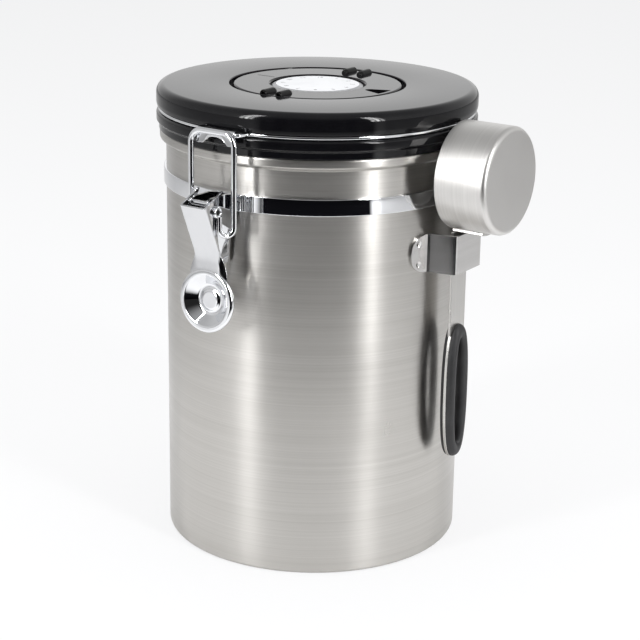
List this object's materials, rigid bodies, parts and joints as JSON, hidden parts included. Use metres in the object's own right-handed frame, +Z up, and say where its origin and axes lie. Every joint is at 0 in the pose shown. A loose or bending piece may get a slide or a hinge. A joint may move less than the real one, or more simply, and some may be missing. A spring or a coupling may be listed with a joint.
{
  "type": "food canister",
  "caption": "Round steel food canister with a black dial lid, a hinged wire bail clamp and a scoop hung in a side strap.",
  "frame": {"origin": "centre of the flat base, on the surface it stands on", "axes": "+Z up along the can; the clamp is at -Y, the lid hinge at +Y and the scoop at +X"},
  "size_m": [0.152, 0.1539, 0.1866],
  "materials": {
    "body_steel": "fine brushed round the can",
    "scoop_steel": "satin brushed",
    "chrome": "bright polished",
    "black_plastic": "high gloss",
    "white_plastic": "smooth satin",
    "silicone": "matte"
  },
  "bodies": {
    "canister": {"canister_body": "body_steel", "collar_ring": "black_plastic", "clamp_band": "chrome", "clamp_base": "chrome", "lever_pivot_pin": "chrome", "hinge_bracket": "chrome", "hinge_pin": "chrome", "scoop_strap": "body_steel"},
    "lid": {"lid_shell": "black_plastic", "lid_inner_plate": "black_plastic", "inner_plate_screws": "chrome", "lid_gasket": "silicone", "lid_wire_ring": "chrome", "lid_catch": "chrome", "lid_hinge_leaf": "chrome", "dial_pivot": "black_plastic", "day_number_plate": "black_plastic", "valve_housing": "black_plastic", "valve_cap": "black_plastic"},
    "date_dial": {"date_disc": "black_plastic", "dial_grips": "black_plastic"},
    "month_dial": {"month_dial": "white_plastic"},
    "valve_flap": {"valve_flap": "silicone"},
    "lever": {"clamp_lever": "chrome", "loop_eyelets": "chrome"},
    "loop": {"wire_loop": "chrome"},
    "scoop": {"scoop_cup": "scoop_steel", "scoop_handle": "scoop_steel", "handle_grip": "silicone"}
  },
  "joints": [
    {"name": "lid_hinge", "type": "hinge", "parent": "canister", "child": "lid", "pos_m": [0, 0.07, 0.1758], "axis": [-1, 0, 0], "range_deg": [0, 110]},
    {"name": "lever_pivot", "type": "hinge", "parent": "canister", "child": "lever", "pos_m": [0, -0.076, 0.1512], "axis": [-1, 0, 0], "range_deg": [0, 100]},
    {"name": "loop_turn", "type": "hinge", "parent": "lever", "child": "loop", "pos_m": [0, -0.0748, 0.1484], "axis": [-1, 0, 0], "range_deg": [-140, 0]},
    {"name": "date_dial_turn", "type": "hinge", "parent": "lid", "child": "date_dial", "pos_m": [0, 0, 0.183], "axis": [0, 0, 1], "continuous": true},
    {"name": "month_dial_turn", "type": "hinge", "parent": "lid", "child": "month_dial", "pos_m": [0, 0, 0.184], "axis": [0, 0, 1], "continuous": true},
    {"name": "valve_lift", "type": "slide", "parent": "lid", "child": "valve_flap", "axis": [0, 0, 1], "range_m": [0, 0.001]},
    {"name": "scoop_lift", "type": "slide", "parent": "canister", "child": "scoop", "axis": [0, 0, 1], "range_m": [0, 0.095]}
  ],
  "couplings": [
    {"joint": "loop_turn", "follows": "lever_pivot", "ratio": -1.4}
  ]
}
